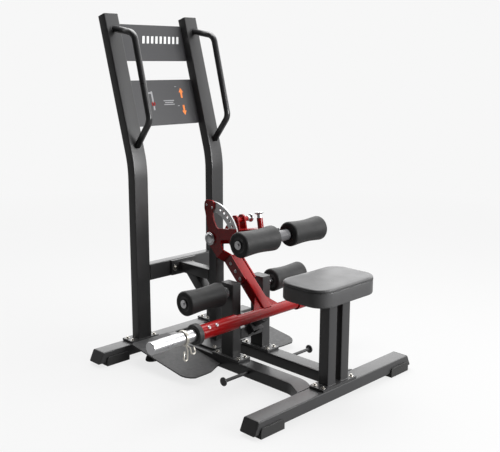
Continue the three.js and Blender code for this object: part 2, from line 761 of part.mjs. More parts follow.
// Spring clip: a coil of nearly two turns round the sleeve, and a hairpin grip on each end.
function clip() {
  const steps = 22;
  const [firstTurn, lastTurn] = [-90, 222 + 360].map(THREE.MathUtils.degToRad);
  const r = (SLEEVE_R + GAP + CLIP_WIRE_R) / Math.cos((lastTurn - firstTurn) / steps / 2);
  const halfWide = 5.8;
  const coil = [];
  for (let i = 0; i <= steps; i += 1) {
    const part = i / steps;
    const turn = firstTurn + (lastTurn - firstTurn) * part;
    const x = CLIP_X - halfWide + 2 * halfWide * part;
    coil.push(vec(x, BAR_Y + r * Math.cos(turn), BAR_Z + r * Math.sin(turn)));
  }
  const innerY = BAR_Y - 9;
  const innerGrip = filleted([
    vec(CLIP_X - 43, innerY, 229), vec(CLIP_X - 51, innerY, 203), vec(CLIP_X - 41, innerY, 198),
    vec(CLIP_X - 30, innerY, 204), vec(CLIP_X - 25, innerY, 228),
    vec(CLIP_X - halfWide, innerY, BAR_Z - r), coil[0],
  ], 4, 2);
  const outerY = coil[steps].y;
  const outerGrip = filleted([
    coil[steps], vec(CLIP_X - 2, outerY, 223), vec(CLIP_X + 1, outerY, 190),
    vec(CLIP_X + 10, outerY, 185.5), vec(CLIP_X + 19, outerY, 197), vec(CLIP_X + 14, outerY, 225),
  ], 4, 2);
  return wire([...innerGrip.slice(0, -1), ...coil, ...outerGrip.slice(1)], CLIP_WIRE_R, 6);
}

// ---- Roller arm ---------------------------------------------------------------

const armDirection = vec(0, -Math.cos(ARM_LIFT), Math.sin(ARM_LIFT));
const armUp = vec(0, Math.sin(ARM_LIFT), Math.cos(ARM_LIFT));
// Own axes: along the arm, along X, and up square to the arm.
const armFrame = frameOf(armDirection, X, armUp, hub);

function armPoint(s, t = 0) {
  return hub.clone().addScaledVector(armDirection, s).addScaledVector(armUp, t);
}

// Outline given along and above the arm, pushed along X.
function armPrism(points, x0, x1, holes = []) {
  const place = ([s, t]) => {
    const p = armPoint(s, t);
    return [p.y, p.z];
  };
  return prismX(points.map(place), x0, x1, holes.map((hole) => hole.map(place)));
}

function rollerArm() {
  const tube = straightTube(armPoint(60), armPoint(312), X, TUBE, 60, 4);
  const eye = [];
  for (let i = 0; i <= 12; i += 1) {
    const turn = Math.PI / 2 + (Math.PI * i) / 12;
    eye.push([28 * Math.cos(turn), 28 * Math.sin(turn)]);
  }
  const yoke = [...eye, [112, -28], [120, -20], [120, 20], [112, 28]];
  const lug = [
    [108, 29], [150, 29], [150, 74], [145, 85], [136, 91], [122, 91], [113, 85], [108, 74],
  ];
  const pinHousing = armPrism(circle(ARM_PIN.s, ARM_PIN.t, 10, 24), -30, PIN_HOUSING_END);
  const pinBore = armPrism(circle(ARM_PIN.s, ARM_PIN.t, PIN_BORE_R, 20), -40, 60);
  const post = [[28, 0], [28, 12.5], [REACH_POST_TOP, 12.5], [REACH_POST_TOP, 0]];
  const upright = turned(post, armUp, armPoint(REACH_PIN_S), 24);
  const uprightBore = turned([[20, 0], [20, PIN_BORE_R], [80, PIN_BORE_R], [80, 0]],
    armUp, armPoint(REACH_PIN_S), 20);
  const pieces = [tube, pinHousing, upright];
  for (const side of [-1, 1]) {
    const span = (near, far) => (side > 0 ? [near, far] : [-far, -near]);
    pieces.push(armPrism(yoke, ...span(26, 33)));
    pieces.push(box(66, 116, ...span(23, 27), -24, 24).applyMatrix4(armFrame));
    pieces.push(rodX(HUB_Y, HUB_Z, 22, ...span(32, FORK_IN - GAP), 28));
    pieces.push(armPrism(lug, ...span(16, 24)));
  }
  return cut(join(...pieces), rodX(HUB_Y, HUB_Z, BORE_R, -80, 80, 32), pinBore, uprightBore);
}

// Inner tube, closed at its end and welded to the boss that carries the cross shaft.
function armSlide() {
  const [wide, high] = [41, 51.2];
  const end = CROSS_SHAFT.s - 20;
  const tube = straightTube(armPoint(170), armPoint(end), X, wide, high);
  const lidFrames = [end - 3, end].map((s) => ({ o: armPoint(s), a: X, b: armUp }));
  const lid = sweep(lidFrames, tubeOuter(wide, high));
  const shoulder = UPPER_ROLLER_IN - GAP;
  const outer = UPPER_ROLLER_OUT + GAP;
  const half = [[36, 23], [36, 17], [shoulder, 17], [shoulder, AXLE_R], [outer, AXLE_R]];
  half.push(...axleEnd(outer));
  const other = half.map(([x, r]) => [-x, r]).reverse();
  const at = armPoint(CROSS_SHAFT.s, CROSS_SHAFT.t);
  return join(tube, lid, turned([...other, ...half], X, at, 24));
}

// Spring plunger: a rod in its bore, then a grip with a flared head, drawn along its axis.
function plunger(tip, shoulder, axis, origin) {
  const face = shoulder + GAP;
  const profile = [
    [tip, 0], [tip, PIN_R], [face, PIN_R], [face, 12], [face + 3, 12], [face + 3, 10],
    [face + 15, 10], [face + 19, 17], [face + 21, 18.5], [face + 24, 18.5], [face + 26, 15],
    [face + 26, 0],
  ];
  return turned(profile, axis, origin, 28);
}

function sectorPin() {
  const tip = -FORK_IN + GAP + 7 + GAP;
  const at = armPoint(ARM_PIN.s, ARM_PIN.t);
  return plunger(tip, PIN_HOUSING_END, X, at);
}

function reachPin() {
  return plunger(26, REACH_POST_TOP, armUp, armPoint(REACH_PIN_S));
}

// ---- The machine ----------------------------------------------------------------

addPart('front_base', baseTube(FRONT_BASE_Y), charcoal);
addPart('rear_base', baseTube(0), charcoal);
addPair('front_cap', baseCap(FRONT_BASE_Y), plastic);
addPair('rear_cap', baseCap(0), plastic);
addPair('front_boot', boot(FRONT_BASE_Y, 334, 457), rubber);
addPair('rear_boot', boot(0, 326, 446), rubber);
addPair('rail', rail(), charcoal);
addPair('upright', upright(), charcoal);
addPair('upright_cap', uprightCap(), plastic);
addPart('crossbar', crossbar(), charcoal);
addPart('mast_beam', mastBeam(), charcoal);
addPart('mast', mast(), charcoal);
addPair('column', column(), charcoal);
addPair('column_cap', columnCap(), plastic);
addPart('column_beam', columnBeam(), charcoal);
addPart('bumper', bumper(), rubber);
addPair('lower_axle', lowerAxle(), chrome);
addPair('lower_roller', roller(LOWER_ROLLER_IN, LOWER_ROLLER_OUT, LOWER_Y, LOWER_Z), foam);
addPart('seat_stand', seatStand(), charcoal);
addPart('seat_pad', seatPad(), vinyl);
addPair('foot_plate', footPlate(), charcoal);
addPair('rubber_foot', rubberFoot(), rubber);
addPair('peg', peg(), darkSteel);
addPair('handle', handle(), darkSteel);
addPart('sign_plate', signPlate(473.7, 641.2), panel);
addPart('placard', signPlate(176, 385.2), panel);

// Only the left side of the fork reaches up to hold the sector plate.
const plainTop = [[-287, 598], [-312, 592], [-338, 588], [-395, 590], [-434, 593]];
const sectorTop = [
  [-267, 624.6], [-259, 663], [-253, 682], [-253.5, 702], [-257, 712], [-265, 719], [-279.5, 720],
  [-305, 720], [-312, 715], [-314, 706], [-314, 686], [-304.6, 673.5], [-307.5, 650], [-315.6, 628],
  [-326.8, 610], [-338, 603], [-395, 609], [-450, 615],
];
addPart('fork_right', forkPlate(plainTop), red);
addPart('fork_left', forkPlate(sectorTop), red, true);
addPart('lever_frame', leverBody(), red);
addPart('pivot_shaft', pivotShaft(), chrome);
addPart('sector_plate', sectorPlate(), steel);
addPair('sleeve', sleeve(), chrome);
addPair('collar', collar(), rubber);
addPair('clip', clip(), steel);

const crossShaft = armPoint(CROSS_SHAFT.s, CROSS_SHAFT.t);
const upperRoller = roller(UPPER_ROLLER_IN, UPPER_ROLLER_OUT, crossShaft.y, crossShaft.z);
addPart('roller_arm', rollerArm(), red);
addPart('arm_slide', armSlide(), slideGrey);
addPair('upper_roller', upperRoller, foam);
addPart('sector_pin', sectorPin(), steel);
addPart('reach_pin', reachPin(), steel);

export default group;
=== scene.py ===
"""Looks of the standing hip thrust machine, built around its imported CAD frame.

Places are written in millimetres from the rear base tube's centre line (y = 0), the
machine's centre plane (x = 0) and the floor (z = 0); at() turns them into the frame's metres.
"""
import json
import math

import bmesh
import bpy
from mathutils import Matrix, Vector


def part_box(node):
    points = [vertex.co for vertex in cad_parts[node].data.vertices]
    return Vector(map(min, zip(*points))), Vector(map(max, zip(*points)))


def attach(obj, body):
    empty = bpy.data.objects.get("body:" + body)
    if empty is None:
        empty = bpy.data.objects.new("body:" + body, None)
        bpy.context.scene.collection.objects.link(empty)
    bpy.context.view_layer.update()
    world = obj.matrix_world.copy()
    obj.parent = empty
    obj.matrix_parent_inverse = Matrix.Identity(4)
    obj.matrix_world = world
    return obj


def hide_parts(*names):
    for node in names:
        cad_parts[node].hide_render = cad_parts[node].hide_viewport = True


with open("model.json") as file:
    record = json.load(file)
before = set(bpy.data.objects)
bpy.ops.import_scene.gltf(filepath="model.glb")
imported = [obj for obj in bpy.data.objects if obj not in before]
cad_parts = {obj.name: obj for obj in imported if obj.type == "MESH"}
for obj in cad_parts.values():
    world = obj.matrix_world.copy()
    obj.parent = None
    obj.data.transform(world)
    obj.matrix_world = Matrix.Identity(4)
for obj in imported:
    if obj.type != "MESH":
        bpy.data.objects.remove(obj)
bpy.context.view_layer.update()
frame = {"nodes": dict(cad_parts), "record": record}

NODES = frame["nodes"]
SIDES = (("right", 1), ("left", -1))
MM = 0.001

X = Vector((1, 0, 0))
Y = Vector((0, 1, 0))
Z = Vector((0, 0, 1))


def middle(node):
    low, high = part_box(node)
    return (low + high) / 2


REAR_Y = middle("rear_base").y


def at(x, y, z):
    """A place in the frame, from millimetres."""
    return Vector((x * MM, y * MM + REAR_Y, z * MM))


# ---- Driving sizes, in millimetres ---------------------------------------

PLATE_TOP = 74                # top of the base plates, which the posts are welded to
HUB = (0, -293, 552)          # centre of the lever's pivot shaft
BAR_S = 398                   # from the pivot shaft down the lever to the weight bar
BAR_Y = HUB[1] - BAR_S * math.sqrt(0.5)
BAR_Z = HUB[2] - BAR_S * math.sqrt(0.5)
BAR_OUTER_R = 30
SLEEVE_R = 25
CLIP_X = 458
CLIP_WIRE_R = 3.0
UPRIGHT_X = 227.5
LEAN = math.radians(16.1)     # how far the uprights lean back above their bend
FACE_Y = -34.2                # the uprights' front face at its bend
FACE_BEND_Z = 863.4
SIGN_FRONT = -38              # the panels' front, out of that leaning face
HANDLE_X = 228.5
HANDLE_R = 14
HANDLE_BEND = 48

LEVER = Vector((0, -math.sqrt(0.5), -math.sqrt(0.5)))
LEAN_UP = Vector((0, math.sin(LEAN), math.cos(LEAN)))
LEAN_OUT = Vector((0, -math.cos(LEAN), math.sin(LEAN)))


def on_lever(down, x):
    """A point on the lever's middle line, or beside it."""
    return at(*HUB) + (LEVER * down + X * x) * MM


def on_face(x, along, out):
    """A point on the uprights' leaning front face, or out of it."""
    return at(x, FACE_Y, FACE_BEND_Z) + (LEAN_UP * along + LEAN_OUT * out) * MM


# ---- Materials ------------------------------------------------------------

def add_node(tree, kind, **settings):
    made = tree.nodes.new(kind)
    for name, value in settings.items():
        setattr(made, name, value)
    return made


class Look:
    """A node material round one Principled shader, patterned in the object's own space."""

    def __init__(self, name, colour, roughness, metallic=0.0):
        self.material = bpy.data.materials.new(name)
        self.material.use_nodes = True
        self.tree = self.material.node_tree
        self.shader = self.tree.nodes["Principled BSDF"]
        self.colour = (*colour, 1.0)
        self.roughness = roughness
        self.set("Base Color", self.colour)
        self.set("Roughness", roughness)
        self.set("Metallic", metallic)
        self.place = self.node("ShaderNodeTexCoord").outputs["Object"]
        self.normal = None

    def set(self, socket, value):
        self.shader.inputs[socket].default_value = value

    def node(self, kind, **settings):
        return add_node(self.tree, kind, **settings)

    def link(self, output, target):
        self.tree.links.new(output, target)

    def stretched(self, x, y, z):
        """The pattern's space, scaled differently along each axis."""
        mapping = self.node("ShaderNodeMapping")
        mapping.inputs["Scale"].default_value = (x, y, z)
        self.link(self.place, mapping.inputs["Vector"])
        return mapping.outputs["Vector"]

    def noise(self, scale, detail=3.0, space=None):
        made = self.node("ShaderNodeTexNoise")
        made.inputs["Scale"].default_value = scale
        made.inputs["Detail"].default_value = detail
        self.link(space or self.place, made.inputs["Vector"])
        return made.outputs["Fac"]

    def cells(self, scale, feature="F1"):
        made = self.node("ShaderNodeTexVoronoi", feature=feature)
        made.inputs["Scale"].default_value = scale
        self.link(self.place, made.inputs["Vector"])
        return made.outputs["Distance"]

    def between(self, source, low, high, to_low=0.0, to_high=1.0):
        """Carries the range low to high over to another range."""
        made = self.node("ShaderNodeMapRange")
        values = {"From Min": low, "From Max": high, "To Min": to_low, "To Max": to_high}
        for name, value in values.items():
            made.inputs[name].default_value = value
        self.link(source, made.inputs["Value"])
        return made.outputs["Result"]

    def tint(self, share, colour):
        """Mixes another colour over what is there, by a 0 to 1 pattern."""
        made = self.node("ShaderNodeMix", data_type="RGBA")
        base = self.shader.inputs["Base Color"]
        if base.is_linked:
            self.link(base.links[0].from_socket, made.inputs["A"])
        else:
            made.inputs["A"].default_value = self.colour
        made.inputs["B"].default_value = (*colour, 1.0)
        self.link(share, made.inputs["Factor"])
        self.link(made.outputs["Result"], base)

    def cloud(self, scale, low, high, share, colour, detail=3.0):
        """Patches of another colour: none where the noise is below low, their full share above high."""
        self.tint(self.between(self.noise(scale, detail), low, high, 0.0, share), colour)

    def pitted(self, cells, size, share, colour):
        """Another colour at the middle of each cell."""
        self.tint(self.between(cells, 0.0, size, share, 0.0), colour)

    def painted_edge_highlight(self, share, colour):
        """Painted highlight: another colour along the convex edges."""
        self.tint(self.between(self.edges(), 0, 1, 0.0, share), colour)

    def vary_roughness(self, pattern, spread):
        """Lets the roughness stray by the spread either way."""
        low = max(self.roughness - spread, 0.02)
        self.link(
            self.between(pattern, 0.3, 0.7, low, self.roughness + spread),
            self.shader.inputs["Roughness"],
        )

    def bump(self, pattern, height, strength=1.0):
        """Adds a fine relief, its height in millimetres."""
        made = self.node("ShaderNodeBump")
        made.inputs["Distance"].default_value = height * MM
        made.inputs["Strength"].default_value = strength
        self.link(pattern, made.inputs["Height"])
        if self.normal:
            self.link(self.normal, made.inputs["Normal"])
        self.normal = made.outputs["Normal"]
        self.link(self.normal, self.shader.inputs["Normal"])

    def edges(self):
        """1 on convex edges, 0 on flats."""
        return self.between(self.node("ShaderNodeNewGeometry").outputs["Pointiness"], 0.52, 0.6)


def shade(colour, factor):
    """The colour made darker or lighter."""
    return tuple(min(channel * factor, 1.0) for channel in colour)


def powder_coat(name, colour, roughness, coat=0.0, gloss=0.5):
    """Baked powder paint: orange peel, faint cloudiness, and a painted highlight that makes the edges a
    little lighter.
    """
    look = Look(name, colour, roughness)
    look.cloud(6, 0.35, 0.7, 0.4, shade(colour, 0.85))
    look.cloud(900, 0.55, 0.75, 0.3, shade(colour, 1.5), detail=2)
    # painted highlight: the convex edges lighter than the paint
    look.painted_edge_highlight(0.3, shade(colour, 1.9))
    look.vary_roughness(look.noise(9), 0.03)
    look.bump(look.noise(700, 2), 0.03, 0.35)
    look.set("Specular IOR Level", gloss)
    look.set("Coat Weight", coat)
    look.set("Coat Roughness", 0.12)
    return look.material


def charcoal_paint():
    return powder_coat("charcoal_powder_coat", (0.042, 0.042, 0.043), 0.33, 0.1)


def red_paint():
    return powder_coat("red_powder_coat", (0.27, 0.003, 0.004), 0.22, 0.12, 0.35)


def panel_paint():
    return powder_coat("satin_panel", (0.042, 0.042, 0.045), 0.42)


def slide_paint():
    return powder_coat("grey_slide_tube", (0.09, 0.09, 0.095), 0.34, 0.2)


def chrome():
    """Plated finish with a soft shine, faintly wavy, with cloudy handling marks."""
    look = Look("chrome_plate", (0.62, 0.62, 0.63), 0.3, 1.0)
    look.vary_roughness(look.noise(12), 0.03)
    look.cloud(9, 0.45, 0.75, 0.2, (0.56, 0.57, 0.59))
    look.bump(look.noise(8), 0.05, 0.1)
    return look.material


def zinc():
    """Bright zinc plate, lightly brushed, with cloudy passivation."""
    look = Look("zinc_plated_steel", (0.56, 0.56, 0.57), 0.3, 1.0)
    brushed = look.noise(120, 3, look.stretched(1, 8, 1))
    look.cloud(40, 0.4, 0.7, 0.5, (0.46, 0.46, 0.45))
    # painted highlight: the convex edges much lighter than the zinc
    look.painted_edge_highlight(0.6, (0.85, 0.85, 0.86))
    look.vary_roughness(brushed, 0.08)
    look.bump(brushed, 0.02, 0.4)
    return look.material


def warm_zinc():
    """Yellow-tinted zinc of the bolts."""
    look = Look("bolt_zinc", (0.62, 0.6, 0.56), 0.26, 1.0)
    look.cloud(200, 0.4, 0.7, 0.35, (0.46, 0.43, 0.36))
    look.vary_roughness(look.noise(150), 0.06)
    look.bump(look.noise(500), 0.02, 0.3)
    return look.material


def clip_wire():
    """Nickel-plated spring wire, slightly cream, dulled by handling."""
    look = Look("spring_wire", (0.78, 0.75, 0.68), 0.34, 0.85)
    look.cloud(90, 0.4, 0.7, 0.4, (0.6, 0.56, 0.48))
    look.vary_roughness(look.noise(120), 0.06)
    look.bump(look.noise(400), 0.02, 0.3)
    return look.material


def foam():
    """Closed-cell foam sleeve: pinpoint cells and a soft skin."""
    look = Look("closed_cell_foam", (0.015, 0.0153, 0.0153), 0.54)
    cells = look.cells(1100)
    look.cloud(18, 0.35, 0.7, 0.6, (0.022, 0.022, 0.0225))
    look.pitted(cells, 0.25, 0.5, (0.007, 0.007, 0.007))
    look.vary_roughness(look.noise(30), 0.07)
    look.bump(cells, 0.12, 0.5)
    look.bump(look.noise(60), 0.3, 0.25)
    look.set("Specular IOR Level", 0.32)
    look.set("Sheen Weight", 0.02)
    look.set("Sheen Roughness", 0.5)
    return look.material


def foam_end():
    look = Look("foam_end_cap", (0.018, 0.018, 0.018), 0.5)
    look.cloud(120, 0.4, 0.7, 0.5, (0.03, 0.03, 0.03))
    look.vary_roughness(look.noise(70), 0.08)
    look.bump(look.noise(300), 0.08, 0.4)
    return look.material


def vinyl():
    """Upholstery vinyl: pebbled grain with fine creases."""
    look = Look("upholstery_vinyl", (0.075, 0.075, 0.076), 0.4)
    grain = look.cells(650)
    look.cloud(5, 0.35, 0.7, 0.5, (0.062, 0.062, 0.064))
    look.pitted(grain, 0.35, 0.5, (0.04, 0.04, 0.041))
    look.vary_roughness(look.noise(12), 0.06)
    look.bump(grain, 0.12, 0.45)
    look.bump(look.noise(90, 5), 0.2, 0.3)
    look.set("Sheen Weight", 0.05)
    return look.material


def piping():
    """Darker vinyl cord of the seam."""
    look = Look("vinyl_piping", (0.016, 0.016, 0.016), 0.45)
    look.cloud(300, 0.4, 0.7, 0.5, (0.026, 0.026, 0.026))
    look.vary_roughness(look.noise(200), 0.06)
    look.bump(look.cells(900), 0.05, 0.4)
    return look.material


def thread():
    look = Look("seam_thread", (0.1, 0.1, 0.1), 0.6)
    twist = look.noise(900, 2, look.stretched(3, 3, 1))
    look.tint(look.between(twist, 0.4, 0.6, 0.0, 0.7), (0.035, 0.035, 0.035))
    look.vary_roughness(twist, 0.1)
    look.bump(twist, 0.1, 0.6)
    return look.material


def rubber():
    """Moulded rubber with a dusty bloom and a fine eroded texture."""
    look = Look("moulded_rubber", (0.022, 0.022, 0.022), 0.58)
    look.cloud(22, 0.4, 0.75, 0.5, (0.03, 0.03, 0.029))
    # painted highlight: the convex edges lighter than the rubber
    look.painted_edge_highlight(0.2, (0.06, 0.06, 0.06))
    look.vary_roughness(look.noise(45), 0.1)
    look.bump(look.noise(700, 2), 0.12, 0.5)
    return look.material


def cap_plastic():
    look = Look("moulded_cap_plastic", (0.03, 0.03, 0.031), 0.4)
    look.cloud(35, 0.4, 0.7, 0.4, (0.042, 0.042, 0.043))
    # painted highlight: the convex edges lighter than the plastic
    look.painted_edge_highlight(0.4, (0.08, 0.08, 0.08))
    look.vary_roughness(look.noise(60), 0.06)
    look.bump(look.noise(1000, 2), 0.06, 0.4)
    return look.material


def handle_paint():
    """Dark dipped coating of the hand rails, glossier than the frame."""
    look = Look("dipped_handle_coat", (0.02, 0.02, 0.021), 0.3)
    look.cloud(12, 0.4, 0.7, 0.3, (0.026, 0.026, 0.027))
    look.vary_roughness(look.noise(15), 0.03)
    look.bump(look.noise(900, 2), 0.02, 0.3)
    look.set("Coat Weight", 0.25)
    look.set("Coat Roughness", 0.2)
    return look.material


def tread_paint():
    """Foot plate coating with a sprayed-in grit."""
    look = Look("grit_coated_plate", (0.036, 0.036, 0.037), 0.52)
    grit = look.cells(420)
    look.pitted(grit, 0.4, 0.6, (0.07, 0.07, 0.071))
    look.cloud(9, 0.4, 0.7, 0.5, (0.027, 0.027, 0.028))
    # painted highlight: the convex edges lighter than the coating
    look.painted_edge_highlight(0.4, (0.11, 0.11, 0.11))
    look.vary_roughness(look.noise(60), 0.08)
    look.bump(grit, 0.5, 0.6)
    return look.material


def flat_ink(name, colour):
    """Screen-printed ink on the panels."""
    look = Look(name, colour, 0.5)
    look.cloud(300, 0.45, 0.75, 0.3, shade(colour, 0.75))
    look.vary_roughness(look.noise(200), 0.05)
    look.bump(look.noise(800), 0.02, 0.3)
    return look.material


CHARCOAL = charcoal_paint()
RED = red_paint()
PANEL = panel_paint()
SLIDE = slide_paint()
CHROME = chrome()
ZINC = zinc()
BOLT = warm_zinc()
CLIP = clip_wire()
FOAM = foam()
FOAM_END = foam_end()
VINYL = vinyl()
PIPING = piping()
THREAD = thread()
RUBBER = rubber()
PLASTIC = cap_plastic()
HANDLE = handle_paint()
TREAD = tread_paint()
WHITE_INK = flat_ink("white_ink", (0.8, 0.8, 0.8))
GREY_INK = flat_ink("grey_ink", (0.3, 0.3, 0.31))
ORANGE_INK = flat_ink("orange_ink", (0.85, 0.22, 0.03))

SLOT_LOOKS = {
    "frame_paint": CHARCOAL, "red_paint": RED, "chrome": CHROME, "plated_steel": ZINC,
    "slide_tube": SLIDE, "foam": FOAM, "seat_vinyl": VINYL, "black_rubber": RUBBER,
    "end_plastic": PLASTIC, "panel_paint": PANEL, "grip": HANDLE,
}


# ---- CAD nodes: finish and edge rounding -----------------------------------

CREASE = math.radians(30)     # faces that meet at more than this angle keep a sharp edge


def edge_ends(data, vertices):
    """Where an edge's two ends are, the same for every copy of the edge."""
    return tuple(sorted(tuple(round(c, 5) for c in data.vertices[v].co) for v in vertices))


def mark_creases(data):
    """Marks the edges where faces meet at an angle, so that shading stays flat beside them."""
    faces = {}
    for face in data.polygons:
        for key in face.edge_keys:
            faces.setdefault(edge_ends(data, key), []).append(face.normal)
    for edge in data.edges:
        normals = faces.get(edge_ends(data, edge.vertices), [])
        edge.use_edge_sharp = any(
            a.length and b.length and a.angle(b) > CREASE for a in normals for b in normals
        )


def dress_cad_nodes():
    """Gives every CAD node its slot's finish, with small rounded edges and smooth shading."""
    slots = {row["node"]: row["material_slot"] for row in frame["record"]["subparts"]}
    for name, node in NODES.items():
        look = TREAD if name.startswith("foot_plate") else SLOT_LOOKS[slots[name]]
        node.data.materials.clear()
        node.data.materials.append(look)
        for face in node.data.polygons:
            face.use_smooth = True
        mark_creases(node.data)
        weld = node.modifiers.new("weld", "WELD")
        weld.merge_threshold = 0.00002
        bevel = node.modifiers.new("bevel", "BEVEL")
        bevel.width = 0.0009
        bevel.segments = 2
        bevel.limit_method = "ANGLE"
        bevel.angle_limit = math.radians(31)
        bevel.use_clamp_overlap = True
        weighted = node.modifiers.new("weighted", "WEIGHTED_NORMAL")
        weighted.keep_sharp = True


# ---- Mesh pieces --------------------------------------------------------------

def piece(name, points, faces, look, body, smooth=True):
    """A mesh object in the frame's metres that rides on a body."""
    data = bpy.data.meshes.new(name)
    data.from_pydata([tuple(point) for point in points], [], faces)
    data.update()
    for face in data.polygons:
        face.use_smooth = smooth
    made = bpy.data.objects.new(name, data)
    bpy.context.scene.collection.objects.link(made)
    made.data.materials.append(look)
    outward(made)
    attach(made, body)
    return made


def outward(made):
    """Turns every face's front to the outside."""
    work = bmesh.new()
    work.from_mesh(made.data)
    bmesh.ops.recalc_face_normals(work, faces=work.faces)
    work.to_mesh(made.data)
    work.free()


def joined(rings):
    """The points of all the rings in one list."""
    return [point for ring in rings for point in ring]


def bridge(rings, closed=False):
    """Quads between neighbouring rings of equal length, numbered ring by ring."""
    count = len(rings[0])
    faces = []
    last = len(rings) if closed else len(rings) - 1
    for i in range(last):
        here, there = i * count, ((i + 1) % len(rings)) * count
        for k in range(count):
            n = (k + 1) % count
            faces.append((here + k, here + n, there + n, there + k))
    return faces


def capped(rings):
    """Points and faces of a tube of rings, with one face across each end."""
    count = len(rings[0])
    points = joined(rings)
    faces = bridge(rings)
    faces.append(tuple(reversed(range(count))))
    faces.append(tuple(range((len(rings) - 1) * count, len(rings) * count)))
    return points, faces


def basis(axis):
    """Two directions square to an axis."""
    side = axis.cross(Z if abs(axis.z) < 0.9 else X).normalized()
    return side, axis.cross(side).normalized()


def ring_about(origin, axis, along, radii):
    """A ring of points round an axis, at evenly spaced angles, each at its own radius."""
    side, up = basis(axis)
    ring = []
    for k, radius in enumerate(radii):
        turn = 2 * math.pi * k / len(radii)
        arm = side * math.cos(turn) + up * math.sin(turn)
        ring.append(origin + (axis * along + arm * radius) * MM)
    return ring


def spun(profile, origin, axis, count):
    """Rings of a revolved profile of (along, radius) in millimetres."""
    return [ring_about(origin, axis, along, [radius] * count) for along, radius in profile]


def swept_rings(path, radius, count, closed=False, ripple=None):
    """Rings of a round bar along a path in metres; ripple varies the radius along it."""
    rings = []
    side = None
    total = len(path)
    for i, point in enumerate(path):
        before = path[(i - 1) % total] if closed else path[max(i - 1, 0)]
        after = path[(i + 1) % total] if closed else path[min(i + 1, total - 1)]
        travel = (after - before).normalized()
        if side is None:
            side = basis(travel)[0]
        side = (side - travel * side.dot(travel)).normalized()
        up = travel.cross(side)
        r = radius * (ripple(i) if ripple else 1.0) * MM
        ring = []
        for k in range(count):
            turn = 2 * math.pi * k / count
            ring.append(point + (side * math.cos(turn) + up * math.sin(turn)) * r)
        rings.append(ring)
    return rings


def filleted(corners, radius, steps):
    """Rounds the corners of a chain of points with arcs; radius in millimetres."""
    path = [corners[0]]
    for before, corner, after in zip(corners, corners[1:], corners[2:]):
        back = (before - corner).normalized()
        on = (after - corner).normalized()
        half = back.angle(on) / 2
        reach = radius * MM / math.tan(half)
        centre = corner + (back + on).normalized() * (radius * MM / math.sin(half))
        first = corner + back * reach - centre
        final = corner + on * reach - centre
        normal = first.cross(final).normalized()
        sweep = first.angle(final)
        for k in range(steps + 1):
            path.append(centre + Matrix.Rotation(sweep * k / steps, 3, normal) @ first)
    path.append(corners[-1])
    return path


def rounded_box_path(centre, along, across, half_a, half_b, radius, steps=6):
    """Closed path round a rectangle with rounded corners, in millimetres about a point."""
    path = []
    corners = ((1, 1), (-1, 1), (-1, -1), (1, -1))
    for quarter, (sign_a, sign_b) in enumerate(corners):
        for k in range(steps + 1):
            turn = math.pi / 2 * (quarter + k / steps)
            a = sign_a * (half_a - radius) + radius * math.cos(turn)
            b = sign_b * (half_b - radius) + radius * math.sin(turn)
            path.append(centre + (along * a + across * b) * MM)
    return path


def even(path, spacing):
    """A closed path redrawn with points a fixed distance apart, in millimetres."""
    points = []
    left = 0.0
    for a, b in zip(path, path[1:] + path[:1]):
        length = (b - a).length
        while left < length:
            points.append(a.lerp(b, left / length))
            left += spacing * MM
        left -= length
    return points


# ---- Fasteners and welds -------------------------------------------------------

HEAD_POINTS = 36              # points round a bolt head
WELD_R = 2.4
WELD_STEP = 1.6               # between the rings of a weld bead
RIPPLE = 3                    # rings to one ripple of the weld
NARROW = 25.5                 # half widths of the welds round the posts, which are 50 or 75 wide
WIDE = 38
POST_CORNER = 6
COLUMN_X = 90
COLUMN_Y = -452.5
SEAT_POST_Y = -940
MAST_Y = -267

SIDE_POSTS = (                # x, y, half width in x and half width in y
    (UPRIGHT_X, -9.2, WIDE, NARROW),
    (COLUMN_X, COLUMN_Y, NARROW, WIDE),
    (40, SEAT_POST_Y, NARROW, NARROW),
)
SIDE_BOLTS = (                # middle of a pattern of bolts, and their steps from it in x and in y
    (UPRIGHT_X, 0, (-60, 60), (-20, 20)),
    (COLUMN_X, COLUMN_Y, (-20, 20), (-64, 64)),
    (88, SEAT_POST_Y, (0,), (-20, 20)),
    (82, MAST_Y - 3, (0,), (-68, 68)),
)


def merged(parts):
    """One list of points and faces from several."""
    points = []
    faces = []
    for part_points, part_faces in parts:
        start = len(points)
        points += part_points
        faces += [tuple(start + i for i in face) for face in part_faces]
    return points, faces


def hexagon():
    """Radii round a hexagon whose corners are at 1."""
    sixth = math.pi / 3
    turns = [2 * math.pi * k / HEAD_POINTS for k in range(HEAD_POINTS)]
    return [math.cos(sixth / 2) / math.cos(turn % sixth - sixth / 2) for turn in turns]


def socket_head(origin, axis, r, high):
    """Domed button head with a hexagon socket."""
    key = r * 0.42
    outside = [(-1, r), (0.2 * high, r), (0.55 * high, r * 0.93), (0.8 * high, r * 0.8),
               (high, r * 0.58)]
    rings = spun(outside, origin, axis, HEAD_POINTS)
    for depth, size in ((high, key), (0.35 * high, key), (0.3 * high, key * 0.5)):
        rings.append(ring_about(origin, axis, depth, [size * flat for flat in hexagon()]))
    return capped(rings)


def hex_head(origin, axis, r, high):
    """Hexagon head with chamfered corners on a round washer."""
    washer = [(-0.5, r * 1.7), (1.2, r * 1.7), (1.5, r * 1.6), (1.5, r)]
    rings = []
    for depth, share in ((1.4, 1.0), (high * 0.86, 1.0), (high, 0.86), (high, 0.5)):
        radii = [r * min(share, flat) for flat in hexagon()]
        rings.append(ring_about(origin, axis, depth, radii))
    return merged([capped(spun(washer, origin, axis, HEAD_POINTS)), capped(rings)])


